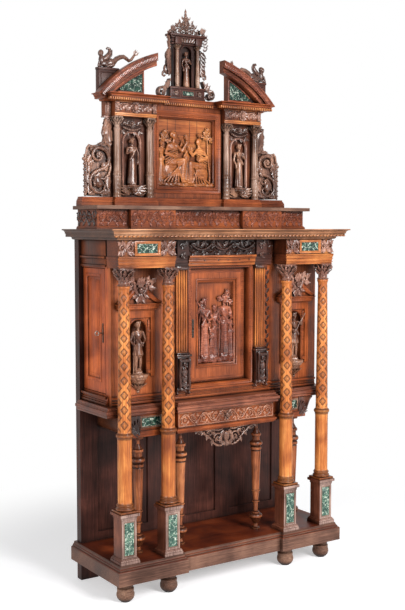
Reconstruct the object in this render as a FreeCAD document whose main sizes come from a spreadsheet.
import FreeCAD, Part

import math
import os

import Sketcher

# Collector cabinet of carved walnut with green marble insets, on an open stand.
# X runs to the right, Y to the rear and Z up. The origin is the middle of the floor rectangle.
# All lengths are in millimetres.

SIZES = {
    # overall outline
    "overall_depth": 474,
    "cornice_overhang": 62,
    "cornice_rise": 47,
    # stacked heights, from the floor up
    "foot_height": 89,
    "plinth_height": 83,
    "pedestal_height": 218,
    "column_height": 970,
    "capital_height": 75,
    "architrave_height": 48,
    "frieze_height": 70,
    # plinth
    "plinth_side_reach": 31,
    "plinth_setback": 19,
    "plinth_moulding": 16,
    "plinth_block_inner": 262,
    "plinth_break": 20,
    "foot_radius": 37,
    # columns and their pedestals
    "column_outer_x": 546,
    "column_inner_x": 327,
    "column_setback": 85,
    "pedestal_half": 36,
    "pedestal_moulding": 11,
    "pedestal_cap_height": 25,
    "pedestal_base_height": 32,
    "inset_depth": 3,
    "pedestal_inset_half_width": 19,
    "pedestal_inset_half_height": 62,
    "column_base_radius": 40,
    "column_plinth_height": 10,
    "column_base_height": 30,
    "shaft_radius": 31,
    "collar_radius": 37,
    "collar_height": 16,
    "lower_shaft_height": 325,
    "upper_shaft_radius": 29.5,
    "neck_radius": 22,
    "astragal_radius": 25,
    "astragal_height": 9,
    "capital_half": 43,
    "abacus_height": 13,
    # back frame
    "post_width": 88,
    "post_side_reach": 6,
    "post_thickness": 40,
    "post_rear_gap": 13,
    "rail_thickness": 26,
    "back_rail_height": 40,
    "back_middle_rail_height": 95,
    "back_top_rail_height": 50,
    "muntin_inner_x": 150,
    "muntin_width": 85,
    "back_panel_thickness": 9,
    "back_panel_setback": 8,
    # turned legs
    "leg_outer_x": 433,
    "leg_inner_x": 213,
    "leg_setback": 169,
    "leg_radius": 30,
    # table board under the case
    "table_height": 45,
    "table_side_reach": 30,
    "table_setback": 123,
    "table_centre_half_width": 285,
    "table_centre_setback": 77,
    "table_moulding": 16,
    # drawer and its housing
    "housing_height": 95,
    "housing_board_height": 25,
    "housing_half_width": 264,
    "housing_cheek": 14,
    "housing_moulding": 13,
    "drawer_front_setback": 104,
    "drawer_front_thickness": 18,
    "drawer_front_half_width": 265,
    "drawer_gap": 0.5,
    "drawer_side_gap": 2,
    "drawer_wall": 8,
    "drawer_bottom_thickness": 6,
    "drawer_depth": 262,
    "runner_width": 14,
    "runner_height": 4,
    "mask_radius": 17,
    "mask_flat": 0.6,
    # side boxes under the bays
    "box_outer_x": 474,
    "box_setback": 135,
    "box_moulding": 6,
    "box_moulding_height": 32,
    "box_ogee_reach": 68,
    "box_inset_half_width": 62,
    "box_inset_half_height": 19,
    # pierced apron
    "apron_half_width": 172,
    "apron_drop": 86,
    "apron_thickness": 14,
    # case
    "case_height": 718,
    "case_side_inset": 16,
    "case_setback": 165,
    "front_board": 22,
    "side_board": 20,
    "side_stile": 25,
    "door_sill_height": 48,
    "side_door_head_drop": 121,
    "side_moulding_height": 38,
    "side_moulding_reach": 9,
    "board_thickness": 18,
    "shelf_height": 317,
    "case_top_drop": 73,
    "divider_x": 286,
    # frontispiece
    "surround_half_width": 281,
    "surround_proud": 8,
    "surround_depth": 54,
    "surround_rebate": 14,
    "surround_rebate_width": 18,
    "pilaster_x": 217,
    "pilaster_half_width": 28,
    "pilaster_proud": 9,
    "pilaster_block_height": 157,
    "pilaster_block_half_width": 32,
    "pilaster_block_proud": 25,
    "flute_radius": 3.5,
    # centre door
    "door_half_width": 157,
    "door_gap": 3,
    "door_setback": 32,
    "door_thickness": 22,
    "centre_door_sill_height": 19,
    "centre_door_head_drop": 14,
    "door_stile": 51,
    "door_bottom_rail": 73,
    "door_top_rail": 55,
    "door_panel_thickness": 10,
    "door_panel_lap": 6,
    # side doors
    "side_door_front_stile": 40,
    "side_door_rear_stile": 24,
    "side_door_bottom_rail": 51,
    "side_door_top_rail": 29,
    "side_door_panel_thickness": 9,
    "side_door_panel_setback": 7,
    # pins, locks and keys
    "pin_radius": 2.5,
    "pin_play": 0.05,
    "pin_inset": 5,
    "pin_length": 20,
    "lock_height": 267,
    "lock_depth": 12,
    "lock_wall": 2,
    "lock_half_height": 26,
    "lock_half_width": 15,
    "lock_from_edge": 20,
    "plate_thickness": 1.5,
    "plate_half_width": 5,
    "plate_half_height": 42,
    "key_radius": 3,
    "key_play": 0.06,
    "key_reach": 30,
    "bow_radius": 9,
    "bow_wire": 2,
    "bit_length": 5,
    "bit_width": 2,
    # side bays and their niches
    "bay_centre_shift": 10.5,
    "niche_sill_height": 133,
    "niche_head_drop": 230,
    "niche_wall": 14,
    "aedicule_foot_drop": 13,
    "aedicule_head_rise": 41,
    "aedicule_proud": 7,
    "aedicule_cornice_height": 31,
    "aedicule_cornice_reach": 22,
    "scroll_height": 62,
    "scroll_thickness": 16,
    "cartouche_height": 96,
    "cartouche_half_width": 24,
    "bracket_radius": 47,
    "bracket_height": 84,
    "figure_headroom": 15,
    "figure_radius": 21,
    "figure_proud": 4,
    # entablature
    "block_inner_x": 306,
    "fascia_reach": 5,
    "centre_frieze_setback": 146,
    "console_half_width": 30,
    "console_proud": 12,
    "frieze_inset_half_width": 50,
    "frieze_inset_half_height": 22,
    "frieze_inset_frame": 14,
    "frieze_frame_proud": 4,
    # attic box
    "attic_side_inset": 11,
    "attic_setback": 270,
    "attic_rear_gap": 15,
    "attic_base_height": 17,
    "attic_height": 70,
    "attic_base_reach": 8,
    "attic_block_inner": 187,
    "attic_block_outer": 418,
    "attic_block_proud": 25,
    "attic_top_height": 16,
    "attic_top_side_reach": 17,
    "attic_top_setback": 237,
    # upper stage
    "upper_base_height": 42,
    "upper_base_setback": 425,
    "upper_base_reach": 7,
    "tower_inner_x": 192,
    "tower_outer_x": 407,
    "tower_shoulder_x": 440,
    "tower_setback": 406,
    "tower_wall_setback": 445,
    "tower_centre_x": 302,
    "tower_wall_half": 103,
    "tower_order_height": 364,
    "tower_architrave": 18,
    "tower_frieze": 49,
    "tower_cornice": 33,
    "tower_cornice_reach": 50,
    "colonnette_spacing": 86,
    "colonnette_radius": 19,
    "tower_niche_radius": 41,
    "tower_niche_sill_height": 55,
    "tower_niche_head_drop": 70,
    "tower_bracket_height": 46,
    "tower_figure_headroom": 34,
    "tower_figure_radius": 19,
    # relief between the towers
    "relief_half_width": 159,
    "relief_foot_height": 55,
    "relief_head_drop": 51,
    "relief_frame_setback": 437,
    "relief_setback": 463,
    "relief_thickness": 10,
    "centre_cornice_reach": 16,
    # scroll wings
    "wing_reach": 146,
    "wing_height": 310,
    "wing_thickness": 26,
    "wing_setback": 434,
    # broken pediment
    "pediment_centre_drop": 418,
    "pediment_radius": 644,
    "pediment_cornice": 56,
    "pediment_fillet": 12,
    "pediment_inner_x": 186,
    "pediment_setback": 395,
    "tympanum_inner_x": 235,
    "tympanum_setback": 440,
    "tympanum_inset_foot": 20,
    # reclining figures
    "sphinx_plinth_inner": 364,
    "sphinx_plinth_outer": 471,
    "sphinx_plinth_height": 116,
    "sphinx_body_height": 30,
    "sphinx_head_radius": 15,
    "sphinx_wing_height": 62,
    # tabernacle
    "tabernacle_base_height": 59,
    "tabernacle_base_half": 98,
    "tabernacle_setback": 430,
    "tabernacle_volute_reach": 60,
    "tabernacle_body_height": 196,
    "tabernacle_wall_half": 70,
    "tabernacle_wall_setback": 448,
    "tabernacle_niche_radius": 30,
    "tabernacle_colonnette_x": 57,
    "tabernacle_colonnette_radius": 11,
    "tabernacle_head_height": 46,
    "tabernacle_head_half": 88,
    "tabernacle_head_reach": 12,
    "tabernacle_inset_half_width": 30,
    "tabernacle_inset_half_height": 9,
    "tabernacle_figure_height": 118,
    "tabernacle_figure_radius": 14,
    "herm_reach": 56,
    "herm_foot_height": 50,
    "herm_height": 118,
    "herm_thickness": 18,
    "crest_height": 44,
    "crest_half_width": 82,
    "crest_thickness": 14,
    "finial_height": 84,
    "finial_radius": 15,
    # common clearances and overruns
    "overrun": 5,
    "curved_gap": 0.3,
}

# Widths within a side bay: shares of half the bay.
NICHE_SHARE = 0.295
AEDICULE_OPENING_SHARE = 0.435
AEDICULE_SHARE = 0.59
AEDICULE_CORNICE_SHARE = 0.63

# Kinds of edge in an outline: straight, a quarter round swelling outwards, a quarter hollow.
STRAIGHT = 0
ROUND = 1
HOLLOW = -1

# Moulding profiles, from the lowest point up: shares of the reach, shares of the rise, edge kind.
CORNICE_SHARES = [
    (0.00, 0.00, STRAIGHT), (0.08, 0.00, ROUND), (0.23, 0.21, STRAIGHT), (0.28, 0.26, STRAIGHT),
    (0.70, 0.26, STRAIGHT), (0.70, 0.56, STRAIGHT), (0.76, 0.56, STRAIGHT), (0.76, 0.62, HOLLOW),
    (0.97, 0.88, STRAIGHT), (1.00, 0.88, STRAIGHT), (1.00, 1.00, STRAIGHT),
]
PLINTH_SHARES = [
    (1.00, 0.00, STRAIGHT), (1.00, 0.66, ROUND), (0.62, 0.76, STRAIGHT), (0.50, 0.76, STRAIGHT),
    (0.50, 0.84, HOLLOW), (0.10, 0.96, STRAIGHT), (0.00, 0.96, STRAIGHT), (0.00, 1.00, STRAIGHT),
]
CAP_SHARES = [
    (0.00, 0.00, STRAIGHT), (0.20, 0.00, STRAIGHT), (0.20, 0.14, HOLLOW), (0.75, 0.52, STRAIGHT),
    (1.00, 0.52, STRAIGHT), (1.00, 1.00, STRAIGHT),
]
FOOT_MOULD_SHARES = [
    (1.00, 0.00, STRAIGHT), (1.00, 0.40, STRAIGHT), (0.80, 0.40, ROUND), (0.45, 0.66, STRAIGHT),
    (0.45, 0.76, HOLLOW), (0.00, 1.00, STRAIGHT),
]
TABLE_SHARES = [
    (0.00, 0.00, STRAIGHT), (0.30, 0.00, ROUND), (0.60, 0.22, STRAIGHT), (0.60, 0.32, STRAIGHT),
    (0.86, 0.36, ROUND), (1.00, 0.52, ROUND), (0.86, 0.68, STRAIGHT), (0.50, 0.72, STRAIGHT),
    (0.50, 0.80, HOLLOW), (0.14, 0.96, STRAIGHT), (0.00, 1.00, STRAIGHT),
]
HOUSING_SHARES = [
    (0.20, 0.00, STRAIGHT), (0.20, 0.15, ROUND), (0.75, 0.45, STRAIGHT), (1.00, 0.50, ROUND),
    (0.85, 0.85, STRAIGHT), (0.40, 0.90, STRAIGHT), (0.40, 1.00, STRAIGHT),
]
FASCIA_SHARES = [
    (0.00, 0.00, STRAIGHT), (0.00, 0.28, STRAIGHT), (0.30, 0.32, STRAIGHT), (0.30, 0.58, STRAIGHT),
    (0.60, 0.62, STRAIGHT), (0.60, 0.80, ROUND), (1.00, 0.92, STRAIGHT), (1.00, 1.00, STRAIGHT),
]

# Turned profiles, from the lowest point up: shares of the radius, shares of the height, edge kind.
FOOT_SHARES = [
    (0.56, 0.00, STRAIGHT), (0.60, 0.03, ROUND), (0.98, 0.50, STRAIGHT), (1.00, 0.66, STRAIGHT),
    (0.88, 0.69, STRAIGHT), (0.80, 0.72, STRAIGHT), (0.92, 0.78, STRAIGHT), (0.92, 1.00, STRAIGHT),
]
LEG_SHARES = [
    (0.66, 0.000, STRAIGHT), (0.66, 0.014, STRAIGHT), (0.40, 0.022, STRAIGHT), (0.30, 0.050, STRAIGHT),
    (0.52, 0.060, STRAIGHT), (0.92, 0.104, ROUND), (0.92, 0.140, STRAIGHT), (0.62, 0.150, STRAIGHT),
    (0.62, 0.158, STRAIGHT), (0.32, 0.170, STRAIGHT), (0.38, 0.250, STRAIGHT), (0.60, 0.252, STRAIGHT),
    (0.60, 0.262, STRAIGHT), (0.40, 0.264, STRAIGHT), (0.54, 0.350, STRAIGHT), (0.68, 0.352, STRAIGHT),
    (0.68, 0.362, STRAIGHT), (0.56, 0.364, STRAIGHT), (0.78, 0.722, STRAIGHT), (0.70, 0.730, STRAIGHT),
    (0.86, 0.738, STRAIGHT), (0.86, 0.758, STRAIGHT), (0.72, 0.764, STRAIGHT), (0.88, 0.774, ROUND),
    (0.88, 0.812, STRAIGHT), (0.60, 0.822, STRAIGHT), (0.60, 0.858, STRAIGHT), (0.80, 0.864, STRAIGHT),
    (0.80, 0.884, STRAIGHT), (0.62, 0.892, STRAIGHT), (0.28, 0.930, STRAIGHT), (0.24, 0.968, STRAIGHT),
    (0.40, 0.972, STRAIGHT), (0.82, 0.978, STRAIGHT), (0.82, 1.000, STRAIGHT),
]
COLUMN_BASE_SHARES = [
    (0.96, 0.00, ROUND), (1.00, 0.20, ROUND), (0.86, 0.40, STRAIGHT), (0.80, 0.44, HOLLOW),
    (0.80, 0.66, STRAIGHT), (0.84, 0.68, ROUND), (0.90, 0.80, ROUND), (0.82, 0.92, STRAIGHT),
    (0.78, 1.00, STRAIGHT),
]
BELL_SHARES = [
    (0.52, 0.00, STRAIGHT), (0.52, 0.08, HOLLOW), (0.62, 0.62, STRAIGHT), (0.80, 0.66, ROUND),
    (0.86, 0.80, STRAIGHT),
]
COLONNETTE_SHARES = [
    (1.00, 0.000, STRAIGHT), (1.00, 0.030, STRAIGHT), (0.80, 0.040, STRAIGHT), (0.92, 0.070, STRAIGHT),
    (0.96, 0.200, STRAIGHT), (0.80, 0.290, STRAIGHT), (0.86, 0.300, ROUND), (0.86, 0.330, STRAIGHT),
    (0.72, 0.350, STRAIGHT), (0.60, 0.860, STRAIGHT), (0.74, 0.866, STRAIGHT), (0.74, 0.886, STRAIGHT),
    (0.64, 0.890, HOLLOW), (1.00, 0.965, STRAIGHT), (1.00, 1.000, STRAIGHT),
]
BRACKET_SHARES = [
    (0.08, 0.00, STRAIGHT), (0.17, 0.06, STRAIGHT), (0.17, 0.12, STRAIGHT), (0.08, 0.18, STRAIGHT),
    (0.26, 0.44, STRAIGHT), (0.30, 0.46, HOLLOW), (0.82, 0.78, STRAIGHT), (0.90, 0.80, ROUND),
    (1.00, 0.92, STRAIGHT), (1.00, 1.00, STRAIGHT),
]
FIGURE_SHARES = [
    (0.95, 0.00, STRAIGHT), (0.95, 0.05, STRAIGHT), (0.82, 0.06, STRAIGHT), (0.62, 0.45, STRAIGHT),
    (0.66, 0.60, STRAIGHT), (0.86, 0.74, STRAIGHT), (0.74, 0.81, STRAIGHT), (0.28, 0.84, STRAIGHT),
    (0.28, 0.87, STRAIGHT), (0.42, 0.90, STRAIGHT), (0.46, 0.94, STRAIGHT), (0.36, 0.98, STRAIGHT),
    (0.14, 1.00, STRAIGHT),
]
FINIAL_SHARES = [
    (0.70, 0.00, STRAIGHT), (0.70, 0.06, STRAIGHT), (0.34, 0.12, HOLLOW), (0.50, 0.26, ROUND),
    (0.92, 0.38, ROUND), (0.40, 0.52, STRAIGHT), (0.22, 0.60, STRAIGHT), (0.16, 0.82, STRAIGHT),
    (0.34, 0.84, STRAIGHT), (0.46, 0.89, STRAIGHT), (0.36, 0.95, STRAIGHT), (0.10, 1.00, STRAIGHT),
]

# Flat outlines: shares of the reach and of the height, with the edge kind, anticlockwise.
WING_SHARES = [
    (0.00, 0.00, STRAIGHT), (0.92, 0.00, ROUND), (1.00, 0.10, ROUND), (0.92, 0.24, STRAIGHT),
    (0.70, 0.30, HOLLOW), (0.62, 0.42, STRAIGHT), (0.80, 0.50, ROUND), (0.84, 0.66, ROUND),
    (0.66, 0.70, STRAIGHT), (0.44, 0.66, HOLLOW), (0.30, 0.76, STRAIGHT), (0.34, 0.90, ROUND),
    (0.20, 1.00, STRAIGHT), (0.00, 0.98, STRAIGHT),
]
APRON_SHARES = [
    (0.00, 0.80, ROUND), (0.16, 1.00, STRAIGHT), (0.40, 0.92, ROUND), (0.62, 0.62, STRAIGHT),
    (0.70, 0.46, HOLLOW), (0.80, 0.30, STRAIGHT), (0.92, 0.34, ROUND), (1.00, 0.18, STRAIGHT),
    (0.98, 0.00, STRAIGHT),
]
OGEE_SHARES = [
    (0.00, 0.00, HOLLOW), (0.42, 0.42, ROUND), (1.00, 1.00, STRAIGHT),
]
HERM_SHARES = [
    (0.00, 0.00, STRAIGHT), (0.34, 0.00, ROUND), (0.46, 0.10, ROUND), (0.34, 0.22, STRAIGHT),
    (0.30, 0.34, STRAIGHT), (0.62, 0.56, STRAIGHT), (0.66, 0.74, ROUND), (0.96, 0.88, ROUND),
    (0.60, 1.00, STRAIGHT), (0.00, 1.00, STRAIGHT),
]
CREST_SHARES = [
    (-0.14, 1.00, HOLLOW), (-0.36, 0.72, STRAIGHT), (-0.60, 0.78, ROUND),
    (-0.84, 0.46, STRAIGHT), (-1.00, 0.34, STRAIGHT), (-0.96, 0.00, STRAIGHT), (0.96, 0.00, STRAIGHT),
    (1.00, 0.34, STRAIGHT), (0.84, 0.46, ROUND), (0.60, 0.78, STRAIGHT), (0.36, 0.72, HOLLOW),
    (0.14, 1.00, STRAIGHT),
]
SCROLL_SHARES = [
    (0.00, 0.00, STRAIGHT), (1.00, 0.00, STRAIGHT), (1.00, 0.16, STRAIGHT), (0.56, 0.56, HOLLOW),
    (0.34, 0.86, ROUND), (0.12, 1.00, ROUND), (0.04, 0.80, STRAIGHT), (0.20, 0.62, STRAIGHT),
    (0.16, 0.34, STRAIGHT),
]
CARTOUCHE_SHARES = [
    (-0.40, 0.00, STRAIGHT), (0.40, 0.00, STRAIGHT), (0.70, 0.22, ROUND), (1.00, 0.62, ROUND),
    (0.60, 0.86, STRAIGHT), (0.36, 1.00, STRAIGHT), (-0.36, 1.00, STRAIGHT), (-0.60, 0.86, ROUND),
    (-1.00, 0.62, ROUND), (-0.70, 0.22, STRAIGHT),
]
SPHINX_WING_SHARES = [
    (0.00, 0.00, STRAIGHT), (0.86, 0.00, STRAIGHT), (0.80, 0.40, STRAIGHT), (1.00, 0.62, STRAIGHT),
    (0.74, 1.00, ROUND), (0.40, 0.92, STRAIGHT), (0.16, 0.50, STRAIGHT),
]
VOLUTE_SHARES = [
    (0.00, 0.00, STRAIGHT), (0.90, 0.00, ROUND), (1.00, 0.20, ROUND), (0.80, 0.44, STRAIGHT),
    (0.46, 0.48, HOLLOW), (0.10, 0.90, STRAIGHT), (0.00, 0.92, STRAIGHT),
]

LEFT = -1
RIGHT = 1
QUARTER_TURN = 90
FULL_TURN = 360


class Size:
    """A length that knows both its number and the sheet formula that it comes from."""

    def __init__(self, value, formula):
        self.value = value
        self.formula = formula

    def __add__(self, other):
        other = as_size(other)
        return Size(self.value + other.value, f"({self.formula} + {other.formula})")

    def __sub__(self, other):
        other = as_size(other)
        return Size(self.value - other.value, f"({self.formula} - {other.formula})")

    def __mul__(self, share):
        share = as_size(share)
        return Size(self.value * share.value, f"({self.formula} * {share.formula})")

    def __truediv__(self, share):
        share = as_size(share)
        return Size(self.value / share.value, f"({self.formula} / {share.formula})")

    def __neg__(self):
        return Size(-self.value, f"(0 - {self.formula})")


def as_size(number):
    """Turns a plain count, share or zero into a Size."""
    if isinstance(number, Size):
        return number
    return Size(number, f"({number})")


class Sheet:
    """The driving dimensions, kept in a spreadsheet and read back by name."""

    def __init__(self, document, table):
        self.table = document.addObject("Spreadsheet::Sheet", "sizes")
        for row, (name, value) in enumerate(table.items(), start=1):
            self.table.set(f"A{row}", name)
            self.table.set(f"B{row}", str(value))
            self.table.setAlias(f"B{row}", name)
        document.recompute()

    def __getattr__(self, name):
        return Size(float(self.table.get(name)), f"sizes.{name}")


document = FreeCAD.newDocument("collector_cabinet")
size = Sheet(document, SIZES)
nodes = []


def bind(thing, **formulas):
    """Binds properties of a thing to sizes."""
    for name, length in formulas.items():
        thing.setExpression(name, as_size(length).formula)


def put(thing, x=0, y=0, z=0):
    """Binds the place of a thing to sizes."""
    bind(thing, **{"Placement.Base.x": x, "Placement.Base.y": y, "Placement.Base.z": z})
    return thing


def node(label, thing):
    """Names a sub-part for its file."""
    thing.Label = label
    nodes.append(thing)
    return thing


def board(x, y, z):
    """A plain board between pairs of places."""
    box = document.addObject("Part::Box", "board")
    bind(box, Length=x[1] - x[0], Width=y[1] - y[0], Height=z[1] - z[0])
    return put(box, x[0], y[0], z[0])


def rod(radius, length, x, y, z, axis="Z"):
    """A round rod that starts at a place and runs along an axis."""
    cylinder = document.addObject("Part::Cylinder", "rod")
    bind(cylinder, Radius=radius, Height=length)
    if axis == "X":
        cylinder.Placement.Rotation = FreeCAD.Rotation(FreeCAD.Vector(0, 1, 0), QUARTER_TURN)
    if axis == "Y":
        cylinder.Placement.Rotation = FreeCAD.Rotation(FreeCAD.Vector(1, 0, 0), -QUARTER_TURN)
    return put(cylinder, x, y, z)


def ball(radius, x, y, z):
    """A ball about a place."""
    sphere = document.addObject("Part::Sphere", "ball")
    bind(sphere, Radius=radius)
    return put(sphere, x, y, z)


def egg(half_x, half_y, half_z, x, y, z):
    """An ellipsoid about a place, with its half sizes along X, Y and Z."""
    ellipsoid = document.addObject("Part::Ellipsoid", "egg")
    bind(ellipsoid, Radius1=half_z, Radius2=half_x, Radius3=half_y)
    return put(ellipsoid, x, y, z)


def fused(*parts):
    """One solid from several that touch or overlap."""
    whole = document.addObject("Part::MultiFuse", "fused")
    whole.Shapes = list(parts)
    whole.Refine = True
    return whole


def cut(base, *tools):
    """The base without the tools."""
    rest = document.addObject("Part::Cut", "cut")
    rest.Base = base
    rest.Tool = tools[0] if len(tools) == 1 else fused(*tools)
    return rest


def shared(base, tool):
    """What two solids have in common."""
    both = document.addObject("Part::Common", "shared")
    both.Base = base
    both.Tool = tool
    return both


def group(parts):
    """Several separate solids of one node."""
    compound = document.addObject("Part::Compound", "group")
    compound.Links = list(parts)
    return compound


def root_of_half_square(width, rise):
    """The radius of a quarter round between two points."""
    value = math.hypot(width.value, rise.value) / math.sqrt(2)
    return Size(value, f"sqrt(({width.formula}) ^ 2 + ({rise.formula}) ^ 2) / sqrt(2)")


def edge(start, end, kind):
    """The line or quarter arc of one edge, anticlockwise outlines having their outside at the right."""
    first = FreeCAD.Vector(start[0].value, start[1].value, 0)
    last = FreeCAD.Vector(end[0].value, end[1].value, 0)
    if kind == STRAIGHT:
        return Part.LineSegment(first, last)
    middle = (first + last) / 2
    along = last - first
    inward = FreeCAD.Vector(-along.y, along.x, 0) / 2 * kind
    centre = middle + inward
    begin, finish = (first, last) if kind == ROUND else (last, first)
    circle = Part.Circle(centre, FreeCAD.Vector(0, 0, 1), (first - centre).Length)
    angles = [math.atan2(p.y - centre.y, p.x - centre.x) for p in (begin, finish)]
    if angles[1] < angles[0]:
        angles[1] += 2 * math.pi
    return Part.ArcOfCircle(circle, angles[0], angles[1])


def draw(body, role, offset, corners):
    """A closed sketch on one of a body's origin planes, each corner bound to the sheet."""
    sketch = body.newObject("Sketcher::SketchObject", "outline")
    plane = [f for f in body.Origin.OriginFeatures if f.Role == role][0]
    sketch.AttachmentSupport = [(plane, "")]
    sketch.MapMode = "FlatFace"
    bind(sketch, **{"AttachmentOffset.Base.z": offset})
    corners = [(as_size(a), as_size(b), kind) for a, b, kind in corners]
    following = corners[1:] + corners[:1]
    sketch.addGeometry([edge(c, d, c[2]) for c, d in zip(corners, following)], False)
    starts = [2 if c[2] == HOLLOW else 1 for c in corners]
    count = len(corners)
    constraints = []
    formulas = {}
    for i in range(count):
        j = (i + 1) % count
        constraints.append(Sketcher.Constraint("Coincident", i, 3 - starts[i], j, starts[j]))
    for i, (across, up, kind) in enumerate(corners):
        for name, length in (("DistanceX", across), ("DistanceY", up)):
            formulas[len(constraints)] = length.formula
            constraints.append(Sketcher.Constraint(name, -1, 1, i, starts[i], length.value))
        if kind != STRAIGHT:
            goal = following[i]
            radius = root_of_half_square(goal[0] - across, goal[1] - up)
            formulas[len(constraints)] = radius.formula
            constraints.append(Sketcher.Constraint("Radius", i, radius.value))
    sketch.addConstraint(constraints)
    for number, formula in formulas.items():
        sketch.setExpression(f"Constraints[{number}]", formula)
    return sketch


def prism(role, low, high, corners):
    """An outline padded from a low to a high place along the normal of its plane."""
    body = document.addObject("PartDesign::Body", "prism")
    offset = -high if role == "XZ_Plane" else low
    sketch = draw(body, role, offset, corners)
    pad = body.newObject("PartDesign::Pad", "pad")
    pad.Profile = sketch
    bind(pad, Length=high - low)
    return body


def turned(shares, radius, height, x, y, z):
    """A turned piece from a profile of shares."""
    body = document.addObject("PartDesign::Body", "turned")
    profile = [(radius * r, height * h, kind) for r, h, kind in shares]
    corners = [(0, profile[0][1], STRAIGHT)] + profile + [(0, profile[-1][1], STRAIGHT)]
    sketch = draw(body, "XZ_Plane", 0, corners)
    turn = body.newObject("PartDesign::Revolution", "turn")
    turn.Profile = sketch
    turn.ReferenceAxis = (sketch, ["V_Axis"])
    turn.Angle = FULL_TURN
    return put(body, x, y, z)


def section(low, high, low_reach, high_reach, foot, rise, shares):
    """The section of a moulded block, with its profile on one side or on both."""
    right = [(high + high_reach * p, foot + rise * q, kind) for p, q, kind in shares]
    left = [(low - low_reach * p, foot + rise * q, kind) for p, q, kind in shares]
    kinds = [kind for _, _, kind in shares]
    right[-1] = (right[-1][0], right[-1][1], STRAIGHT)
    turned_round = []
    for i in range(len(left) - 1, -1, -1):
        kind = kinds[i - 1] if i else STRAIGHT
        turned_round.append((left[i][0], left[i][1], kind))
    if low_reach == 0:
        turned_round = [(low, foot + rise, STRAIGHT), (low, foot, STRAIGHT)]
    if high_reach == 0:
        right = [(high, foot, STRAIGHT), (high, foot + rise, STRAIGHT)]
    return right + turned_round


def moulded(shares, reach, rise, x, y, foot, sides="LFR"):
    """A block with a mitred moulding round the sides named L, R, F(ront) and B(ack)."""
    reaches = {side: reach if side in sides else 0 for side in "LRFB"}
    run = prism("YZ_Plane", x[0] - reaches["L"], x[1] + reaches["R"], section(
        y[0], y[1], reaches["F"], reaches["B"], foot, rise, shares))
    ends = prism("XZ_Plane", y[0] - reaches["F"], y[1] + reaches["B"], section(
        x[0], x[1], reaches["L"], reaches["R"], foot, rise, shares))
    return shared(run, ends)


def span(side, inner, outer):
    """A pair of places on the left or the right half, given from the middle outwards."""
    if side == RIGHT:
        return as_size(inner), as_size(outer)
    return -as_size(outer), -as_size(inner)


def shape_of_shares(side, shares, x, reach, z, rise):
    """A flat outline from shares, mirrored on the left half."""
    corners = [(x + reach * p, z + rise * q, kind) for p, q, kind in shares]
    if side == RIGHT:
        return corners
    kinds = [corner[2] for corner in corners]
    flipped = [(-corner[0], corner[1], kinds[i - 1]) for i, corner in enumerate(corners)]
    return flipped[::-1]


def niche_tool(radius, x, y, sill, top):
    """The space of a half round niche with a domed head."""
    spring = top - radius
    return fused(rod(radius, spring - sill, x, y, sill), ball(radius, x, y, spring))


# Planes and levels that several pieces share.
rear = size.overall_depth / 2
front = -rear
frame_rear = rear - size.post_rear_gap
frame_front = frame_rear - size.post_thickness
plinth_top = size.foot_height + size.plinth_height
pedestal_top = plinth_top + size.pedestal_height
capital_foot = pedestal_top + size.column_height
entablature_foot = capital_foot + size.capital_height
frieze_foot = entablature_foot + size.architrave_height
cornice_foot = frieze_foot + size.frieze_height
cornice_top = cornice_foot + size.cornice_rise
column_y = front + size.column_setback
table_top = cornice_foot - size.case_height
table_underside = table_top - size.table_height
housing_underside = table_underside - size.housing_height
door_sill = table_top + size.door_sill_height
side_door_head = cornice_foot - size.side_door_head_drop
case_top = cornice_foot - size.case_top_drop
shelf_level = door_sill + size.shelf_height
lock_level = door_sill + size.lock_height
pilaster_foot = door_sill + size.pilaster_block_height
centre_door_sill = door_sill + size.centre_door_sill_height
centre_door_head = entablature_foot - size.centre_door_head_drop
door_panel_half = size.door_half_width - size.door_stile
door_panel_sill = centre_door_sill + size.door_bottom_rail
door_panel_head = centre_door_head - size.door_top_rail
block_outer_x = size.column_outer_x + size.pedestal_half
plinth_half_width = block_outer_x + size.plinth_side_reach
post_half_span = block_outer_x + size.post_side_reach
table_half_width = block_outer_x + size.table_side_reach
case_half_width = block_outer_x - size.case_side_inset
attic_half_width = block_outer_x - size.attic_side_inset
attic_top_half_width = attic_half_width + size.attic_top_side_reach
bay_half = (case_half_width - size.surround_half_width) / 2
bay_centre_x = size.surround_half_width + bay_half + size.bay_centre_shift
niche_radius = bay_half * NICHE_SHARE
niche_sill = table_top + size.niche_sill_height
niche_top = entablature_foot - size.niche_head_drop
aedicule_half = bay_half * AEDICULE_SHARE
aedicule_opening_half = bay_half * AEDICULE_OPENING_SHARE
aedicule_cornice_half = bay_half * AEDICULE_CORNICE_SHARE
case_front = front + size.case_setback
case_inside_front = case_front + size.front_board
case_inside_x = case_half_width - size.side_board
surround_front = case_front - size.surround_proud
surround_rear = surround_front + size.surround_depth
door_front = surround_front + size.door_setback
pilaster_front = surround_front - size.pilaster_proud
block_front = front + size.cornice_overhang
attic_foot = cornice_top + size.attic_base_height
attic_head = attic_foot + size.attic_height
upper_foot = attic_head + size.attic_top_height
upper_floor = upper_foot + size.upper_base_height
tower_head = upper_floor + size.tower_order_height
tower_frieze_foot = tower_head + size.tower_architrave
upper_cornice_foot = tower_frieze_foot + size.tower_frieze
crown_foot = upper_cornice_foot + size.tower_cornice
tower_front = front + size.tower_setback
tower_niche_sill = upper_floor + size.tower_niche_sill_height
tower_niche_top = tower_head - size.tower_niche_head_drop
tower_figure_height = tower_niche_top - tower_niche_sill - size.tower_figure_headroom
relief_foot = upper_floor + size.relief_foot_height
relief_head = upper_cornice_foot - size.relief_head_drop
post_inner_x = post_half_span - size.post_width


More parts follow.
